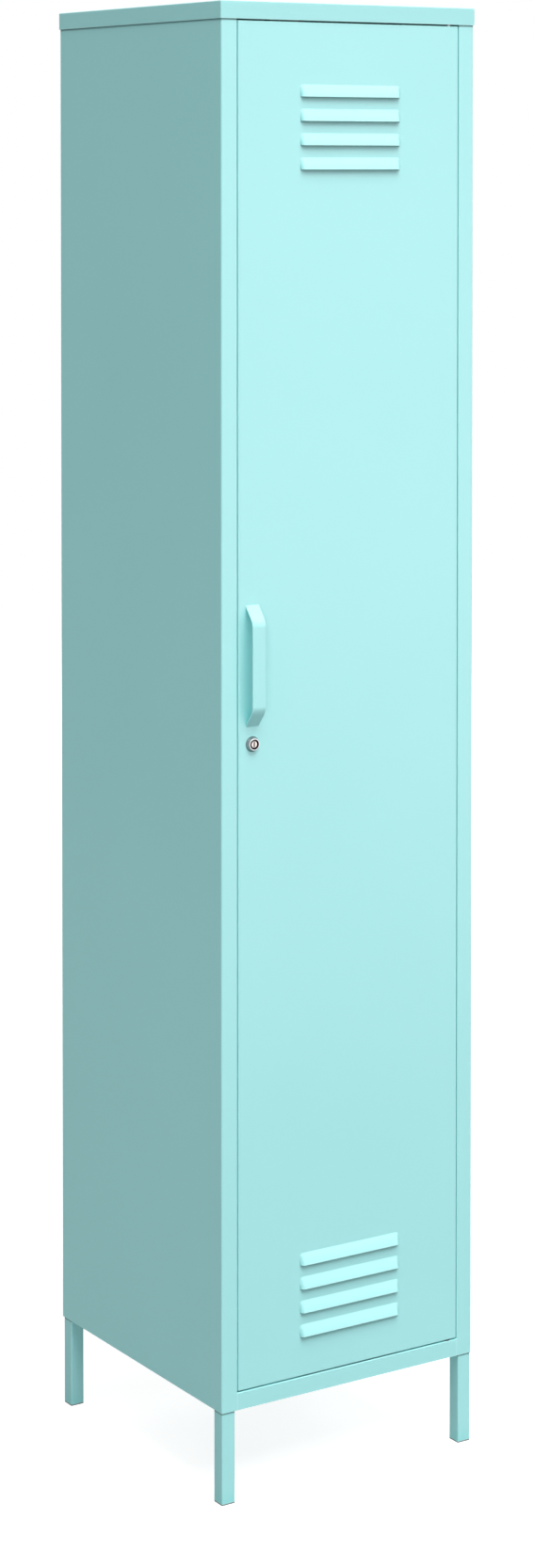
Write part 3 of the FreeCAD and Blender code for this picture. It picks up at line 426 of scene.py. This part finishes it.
def moulded(name, dark, light, low, high):
    """Injection-moulded plastic with a fine spark-eroded grain."""
    material, shader = finish(name, light, low)
    tint(material, shader, grain(material, 220.0, 3.0), dark, light)
    gloss(material, shader, grain(material, 700.0), low, high)
    relief(material, shader, [(grain(material, 1800.0, 2.0), 0.000025)])
    return material


# The legs carry a painted shadow line just under the body.
leg_coat = powder_coat("mint_coat_below_body", None, wall_low.z)
grey_plastic = moulded("grey_plastic", (0.17, 0.185, 0.187), (0.21, 0.225, 0.227), 0.45, 0.6)
for corner in ("front_left", "front_right", "rear_left", "rear_right"):
    dress(corner + "_leg", leg_coat)
    dress(corner + "_glide", grey_plastic)
    dress(corner + "_rail", mint_coat)
dress("leg_bolts", zinc)
dress("leg_nuts", zinc)

# Shelves, clips and hanging rod
# Folded trays on steel clips that hook into the slotted rails, and a chromed tube on two brackets
# under the upper one.
shelf_depth, shelf_lip = 0.02, 0.01
for level in ("upper", "lower"):
    tray(level + "_shelf_tray", level + "_shelf", shelf_depth, shelf_lip)
    dress(level + "_shelf_clips", zinc)


def chromed(name, dark, light):
    """Polished chrome over nickel, with the faintest haze of handling."""
    material, shader = finish(name, light, 0.08, 1.0)
    tint(material, shader, grain(material, 60.0, 4.0), dark, light)
    gloss(material, shader, grain(material, 180.0, 4.0), 0.05, 0.16)
    relief(material, shader, [(grain(material, 900.0, 2.0), 0.000002)])
    return material


chrome = chromed("chrome_plate", (0.6, 0.61, 0.63), (0.78, 0.78, 0.8))
dress("hanging_rod", chrome)
dress("rod_end_caps", grey_plastic)
for node in ("left_rod_bracket", "right_rod_bracket", "rod_screws", "rod_nuts"):
    dress(node, zinc)

# Door skin
# One sheet folded into a pan with turned lips. Its louvres are pressed out in one stroke: cut along
# the lower lip and stretched into a sloping hood with steep rounded ends.
door_low, door_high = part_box("door_skin")
door_half = door_high.x
door_rise = (door_high.z - door_low.z) / 2
door_depth, door_lip = 0.02, 0.012
louvre_half = 0.075
louvre_height = 0.0155
louvre_reach = 0.0048
louvre_pitch = 0.03
louvre_crown = 0.3
corner_round = 0.0042
end_run = 0.005
end_fullness = 2.2
root_run = 0.0015
lowest_lips = (door_low.z + 0.0499, door_high.z - 0.182)
lips = [lowest + louvre_pitch * number for lowest in lowest_lips for number in range(4)]
end_columns, flat_columns, corner_rows = 10, 12, 10
probe = 0.0001


def half_length(drop):
    """Half of a louvre's length at a distance below its root: its upper corners are round."""
    short = max(1 - drop / corner_round, 0)
    return louvre_half - corner_round * (1 - math.sqrt(1 - short * short))


def hood(x, drop):
    """How far a louvre stands out, at a place across it and a distance below its root."""
    soft = drop * drop / (2 * root_run) if drop < root_run else drop - root_run / 2
    share = soft / (louvre_height - root_run / 2)
    slope = share + louvre_crown * share * (1 - share)
    from_end = min(max((half_length(drop) - abs(x)) / end_run, 0), 1)
    return louvre_reach * slope * (1 - (1 - from_end) ** end_fullness)


end_steps = [end_run * (step / end_columns) ** 1.5 for step in range(end_columns)]
columns = [step - louvre_half for step in end_steps]
flat_steps = [2 * step / flat_columns for step in range(flat_columns + 1)]
columns += [(end_run - louvre_half) * (1 - step) for step in flat_steps]
columns += [louvre_half - step for step in reversed(end_steps)]
wide = len(columns)
corner_turns = [math.radians(90 * step / corner_rows) for step in range(corner_rows + 1)]
drops = [corner_round * (1 - math.cos(turn)) for turn in corner_turns]
drops += [0.006, 0.008, 0.01, 0.012, 0.014, 0.015, louvre_height]

outer, inner, faces = pan_skins(pan_loops(door_half, door_rise, door_depth, door_lip))
middle = (door_low.z + door_high.z) / 2
outer = [(x, front - z, middle + y) for x, y, z in outer]
inner = [(x, front - z, middle + y) for x, y, z in inner]
left_edge = list(range(top_middle, foot_middle + 1))
right_edge = list(range(foot_middle, loop_points)) + list(range(top_middle + 1))
left_climb, right_climb = [], []
for lip in lips:
    start = len(outer)
    for drop in drops:
        for column in columns:
            x = column * half_length(drop) / louvre_half
            z = lip + louvre_height - drop
            point = Vector((x, front - hood(x, drop), z))
            across = (hood(x + probe, drop) - hood(x - probe, drop)) / (2 * probe)
            down = (hood(x, drop + probe) - hood(x, max(drop - probe, 0))) / (2 * probe)
            edge = drop == 0 or abs(column) > louvre_half - probe
            inwards = Vector((0, 1, 0)) if edge else Vector((across, 1, -down)).normalized()
            outer.append(tuple(point))
            inner.append(tuple(point + inwards * sheet))
    for row in range(len(drops) - 1):
        for place in range(wide - 1):
            a = start + row * wide + place
            faces.append((a, a + wide, a + wide + 1, a + 1))
    below = len(outer)
    outer.append((0, front, lip))
    inner.append((0, front + sheet, lip))
    left_climb += [below] + [start + row * wide for row in reversed(range(len(drops)))]
    left_climb += [start + place for place in range(1, wide // 2 + 1)]
    right_climb += [below] + [start + row * wide + wide - 1 for row in reversed(range(len(drops)))]
    right_climb += [start + place for place in reversed(range(wide // 2, wide - 1))]
faces.append(tuple(left_edge + left_climb))
faces.append(tuple(right_edge + right_climb[::-1]))
# Painted shadow: a dark mint laid on the door just below each louvre's lip.
painted_lip_shadow = (0.12, 0.34, 0.345)
lip_reach = 0.012
lip_fade = 0.004


def under_lips(material):
    """How open the surface is between the louvres' ends: low in the corner below a lip."""
    nodes, links = material.node_tree.nodes, material.node_tree.links
    across = nodes.new("ShaderNodeMath")
    across.operation = "ABSOLUTE"
    beside = nodes.new("ShaderNodeMapRange")
    beside.inputs["From Min"].default_value = louvre_half
    beside.inputs["From Max"].default_value = louvre_half + lip_fade
    openness = nodes.new("ShaderNodeMath")
    openness.operation = "MAXIMUM"
    links.new(place_along(material, "X"), across.inputs[0])
    links.new(across.outputs["Value"], beside.inputs["Value"])
    links.new(beside.outputs["Result"], openness.inputs[0])
    links.new(seams(material, lip_reach), openness.inputs[1])
    return openness.outputs["Value"]


door_coat = powder_coat("mint_coat_on_door")
door_shader = door_coat.node_tree.nodes["Principled BSDF"]
# Painted shadow below the louvre lips.
blend_over(door_coat, door_shader, under_lips(door_coat), 0.88, 0.62, painted_lip_shadow)
piece("door_pan", *two_skins(outer, inner, faces), door_coat, "door", "mint_coat", "door_skin")
dress("door_stiffener", mint_coat)

# Handle
# A flat steel strap bent out from the door and back, its edges rolled round, its feet folded behind
# the skin and welded there.
strap_low, strap_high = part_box("handle")
strap_thickness = 0.0025
strap_round = 0.0009
strap_foot = 0.007
strap_slant = 0.02
foot_bend, grip_bend = 0.0015, 0.016
strap_bends = (foot_bend, grip_bend, grip_bend, foot_bend)
strap_steps = 12
strap_reach = front - strap_low.y
strap_x = (strap_low.x + strap_high.x) / 2
behind = front + sheet
rise = (strap_reach + sheet) * strap_slant / strap_reach
lower_foot, upper_foot = strap_low.z + strap_foot, strap_high.z - strap_foot
run = [(behind, strap_high.z), (behind, upper_foot), (strap_low.y, upper_foot - rise)]
run += [(strap_low.y, lower_foot + rise), (behind, lower_foot), (behind, strap_low.z)]
section = rounded_loop((strap_high.x - strap_low.x) / 2, strap_thickness / 2, strap_round)
points = []
for face, rear_face in folded(run, strap_bends, strap_thickness, strap_steps):
    centre = (face + rear_face) / 2
    outwards = (face - rear_face).normalized()
    for across, proud in section:
        y, z = centre.x + outwards.x * proud, centre.y + outwards.y * proud
        points.append((strap_x + across, y, z))


def drawn_faces(points, ring):
    """Faces of a strip or wire drawn through rings of points, closed at both ends."""
    count = len(points)
    faces = [tuple(reversed(range(ring))), tuple(range(count - ring, count))]
    for start in range(0, count - ring, ring):
        for place in range(ring):
            a, b = start + place, start + (place + 1) % ring
            faces.append((a, b, b + ring, a + ring))
    return faces


faces = drawn_faces(points, len(section))
piece("handle_strap", points, faces, plain_coat, "door", "mint_coat", "handle")

# Lock
# A die-cast cam lock: chromed bezel with a bright rim round a mouth in painted shade, satin nickel
# plug with its key slot, ringed by painted shade, and behind the skin the nut, the zinc-plated cam
# and the screw that holds it.
plug_low, plug_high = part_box("lock_plug")
lock_x, lock_z = (plug_low.x + plug_high.x) / 2, (plug_low.z + plug_high.z) / 2
ring_scale = 60


def turned(name, rings, low, high):
    """Metal whose tone changes in rings round the lock's axis, from radii in metres and tones."""
    material, shader = finish(name, rings[0][1], low, 1.0)
    nodes, links = material.node_tree.nodes, material.node_tree.links
    spoke = nodes.new("ShaderNodeVectorMath")
    spoke.operation = "MULTIPLY_ADD"
    spoke.inputs[1].default_value = (ring_scale, 0, ring_scale)
    spoke.inputs[2].default_value = (-ring_scale * lock_x, 0, -ring_scale * lock_z)
    radius = nodes.new("ShaderNodeVectorMath")
    radius.operation = "LENGTH"
    ramp = nodes.new("ShaderNodeValToRGB")
    for place, (ring, tone) in enumerate(rings):
        stops = ramp.color_ramp.elements
        stop = stops[place] if place < 2 else stops.new(ring_scale * ring)
        stop.position = ring_scale * ring
        stop.color = (*tone, 1)
    links.new(nodes.new("ShaderNodeTexCoord").outputs["Object"], spoke.inputs[0])
    links.new(spoke.outputs["Vector"], radius.inputs[0])
    links.new(radius.outputs["Value"], ramp.inputs["Fac"])
    links.new(ramp.outputs["Color"], shader.inputs["Base Color"])
    gloss(material, shader, grain(material, 900.0, 3.0), low, high)
    relief(material, shader, [(grain(material, 2500.0, 2.0), 0.000006)])
    return material


# The mouth's tone and the ring round the plug are painted shade, near black.
painted_mouth_shade, rim = (0.02, 0.02, 0.021), (0.27, 0.275, 0.28)
flank, foot = (0.3, 0.32, 0.33), (0.26, 0.27, 0.28)
nickel = (0.25, 0.22, 0.213)
bezel_rings = [(0.0056, painted_mouth_shade), (0.0063, painted_mouth_shade), (0.0066, rim), (0.0071, rim)]
bezel_rings += [(0.0077, flank), (0.0098, foot)]
plug_rings = [(0.0036, nickel), (0.0041, painted_mouth_shade)]
dress("lock_body", turned("chromed_bezel", bezel_rings, 0.12, 0.24))
dress("lock_plug", turned("nickel_plug", plug_rings, 0.28, 0.4))
for node in ("lock_nut", "lock_cam", "cam_screw"):
    dress(node, zinc)

# Pivots
# Folded brackets welded in the hinge corners of the door guide two steel pins: the lower one fixed,
# the upper one sprung. Both turn in nylon bushes.
dress("top_pivot_bracket", mint_coat)
dress("bottom_pivot_bracket", mint_coat)
dress("top_pivot_pin", zinc)
dress("bottom_pivot_pin", zinc)
nylon = moulded("dark_nylon", (0.03, 0.034, 0.034), (0.05, 0.055, 0.055), 0.35, 0.45)
dress("top_pivot_bush", nylon)
dress("bottom_pivot_bush", nylon)

# Pivot spring
# A compression spring of zinc-plated wire round the upper pin, between the bracket's lower ear and
# the pin's collar. It closes up as the pin is drawn down.
spring_low, spring_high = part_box("pivot_spring")
spring_turns = 9
steps_a_turn = 24
wire_radius = 0.0004
wire_sides = 8
coil_radius = (spring_high.x - spring_low.x) / 2 - wire_radius
coil_foot = Vector(((spring_low.x + spring_high.x) / 2, (spring_low.y + spring_high.y) / 2,
                    spring_low.z + wire_radius))
coil_height = spring_high.z - spring_low.z - 2 * wire_radius
coil_climb = coil_height / spring_turns / (2 * math.pi * coil_radius)
stations = spring_turns * steps_a_turn
points = []
for station in range(stations + 1):
    turn = 2 * math.pi * station / steps_a_turn
    spoke = Vector((math.cos(turn), math.sin(turn), 0))
    centre = coil_foot + spoke * coil_radius + Vector((0, 0, coil_height * station / stations))
    along = Vector((-math.sin(turn), math.cos(turn), coil_climb))
    beside = along.cross(spoke).normalized()
    for side in range(wire_sides):
        angle = 2 * math.pi * side / wire_sides
        points.append(centre + (spoke * math.cos(angle) + beside * math.sin(angle)) * wire_radius)
faces = drawn_faces(points, wire_sides)
spring_coil = piece("spring_coil", points, faces, zinc, "door", "zinc_steel", "pivot_spring")
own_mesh(spring_coil)

# Catch, strike and bumpers
# A magnetic catch screwed under the header holds a steel strike on the door's lip. Rubber dots on
# the stop lip take the closing door.
dress("catch_housing", grey_plastic)
for node in ("catch_pole_plates", "catch_screws", "door_strike", "strike_screws"):
    dress(node, zinc)
rubber = moulded("black_rubber", (0.02, 0.02, 0.021), (0.035, 0.035, 0.036), 0.7, 0.85)
dress("door_bumpers", rubber)
ferrite = moulded("ferrite", (0.045, 0.045, 0.048), (0.07, 0.07, 0.074), 0.5, 0.7)
dress("catch_magnet", ferrite)

# Floor and studio light
# A pale floor in a white surround that lens and gloss see. A high frontal box, a left box, a fill
# by the camera and a low rear box give the light, and two cards, seen in gloss alone, the sheen.
floor_half = 7
floor_glow = 0.86
ambient_light = 0.05
floor_mesh = bpy.data.meshes.new("studio_floor")
floor_signs = ((-1, -1), (1, -1), (1, 1), (-1, 1))
floor_corners = [(x * floor_half, y * floor_half, 0) for x, y in floor_signs]
floor_mesh.from_pydata(floor_corners, [], [(0, 1, 2, 3)])
studio_floor = bpy.data.objects.new("studio_floor", floor_mesh)
bpy.context.scene.collection.objects.link(studio_floor)
floor_finish, floor_shader = finish("studio_floor", (0.35, 0.35, 0.35), 0.9)
floor_shader.inputs["Specular IOR Level"].default_value = 0.0
tint(floor_finish, floor_shader, grain(floor_finish, 0.8), (0.34, 0.34, 0.34), (0.36, 0.36, 0.36))
floor_mesh.materials.append(floor_finish)


def seen_directly(tree):
    """One for rays from the lens, from gloss or through glass, none for light on the locker."""
    path = tree.nodes.new("ShaderNodeLightPath")
    seen = path.outputs["Is Camera Ray"]
    for ray in ("Is Glossy Ray", "Is Transmission Ray"):
        either = tree.nodes.new("ShaderNodeMath")
        either.operation = "MAXIMUM"
        tree.links.new(seen, either.inputs[0])
        tree.links.new(path.outputs[ray], either.inputs[1])
        seen = either.outputs["Value"]
    return seen


tree = floor_finish.node_tree
glow = tree.nodes.new("ShaderNodeEmission")
glow.inputs["Color"].default_value = (1, 1, 1, 1)
strength = tree.nodes.new("ShaderNodeMath")
strength.operation = "MULTIPLY"
strength.inputs[1].default_value = floor_glow
both = tree.nodes.new("ShaderNodeAddShader")
tree.links.new(seen_directly(tree), strength.inputs[0])
tree.links.new(strength.outputs["Value"], glow.inputs["Strength"])
tree.links.new(floor_shader.outputs["BSDF"], both.inputs[0])
tree.links.new(glow.outputs["Emission"], both.inputs[1])
tree.links.new(both.outputs["Shader"], tree.nodes["Material Output"].inputs["Surface"])

world = bpy.data.worlds.new("studio")
bpy.context.scene.world = world
world.use_nodes = True
tree = world.node_tree
ambient = tree.nodes["Background"]
ambient.inputs["Color"].default_value = (1, 1, 1, 1)
ambient.inputs["Strength"].default_value = ambient_light
white = tree.nodes.new("ShaderNodeBackground")
white.inputs["Color"].default_value = (1, 1, 1, 1)
choice = tree.nodes.new("ShaderNodeMixShader")
tree.links.new(seen_directly(tree), choice.inputs["Fac"])
tree.links.new(ambient.outputs["Background"], choice.inputs[1])
tree.links.new(white.outputs["Background"], choice.inputs[2])
tree.links.new(choice.outputs["Shader"], tree.nodes["World Output"].inputs["Surface"])
aim_height = 1


def softbox(name, azimuth, height, distance, size, power):
    """A square diffused lamp aimed at the locker's middle, its bearing and height in degrees."""
    lamp = bpy.data.lights.new(name, "AREA")
    lamp.shape = "SQUARE"
    lamp.size = size
    lamp.energy = power
    turn, climb = math.radians(azimuth), math.radians(height)
    level = math.cos(climb)
    away = Vector((math.sin(turn) * level, -math.cos(turn) * level, math.sin(climb)))
    thing = bpy.data.objects.new(name, lamp)
    thing.location = away * distance + Vector((0, 0, aim_height))
    thing.rotation_euler = (-away).to_track_quat("-Z", "Y").to_euler()
    thing.visible_camera = False
    bpy.context.scene.collection.objects.link(thing)
    return thing


softbox("overhead_box", 2, 60, 26, 17, 7850)
softbox("left_box", -70, 55, 8, 4, 110)
softbox("camera_fill", -40, 10, 8, 4, 145)
softbox("rear_box", 135, 20, 6, 3, 200)
softbox("sheen_card", 33, 2.5, 2.6, 2, 55).visible_diffuse = False
upper_card = softbox("upper_sheen_card", 33, 45, 6, 5, 500)
upper_card.visible_diffuse = False
coated_front = bpy.data.collections.new("coated_front")
for name in ("door_pan", "handle_strap", "left_side_panel_sheet", "right_side_panel_sheet"):
    coated_front.objects.link(bpy.data.objects[name])
upper_card.light_linking.receiver_collection = coated_front

# Camera
# A shift lens at the photograph's place: well back to the left, just under the lid's height, and
# looking a little down.
camera = bpy.data.cameras.new("camera")
camera.lens = 73.161
camera.sensor_width = 36
camera.shift_y = -0.3346
camera.clip_end = 200
viewer = bpy.data.objects.new("camera", camera)
to_the_left, well_back, eye_level = 2.0548, 3.2841, 1.65
viewer.location = (-half_width - to_the_left, front - well_back, eye_level)
heading, dip = math.radians(32.8551), math.radians(1.6933)
viewer.rotation_euler = (math.pi / 2 - dip, 0, -heading)
bpy.context.scene.collection.objects.link(viewer)
bpy.context.scene.camera = viewer
bpy.context.scene.view_settings.view_transform = "Standard"
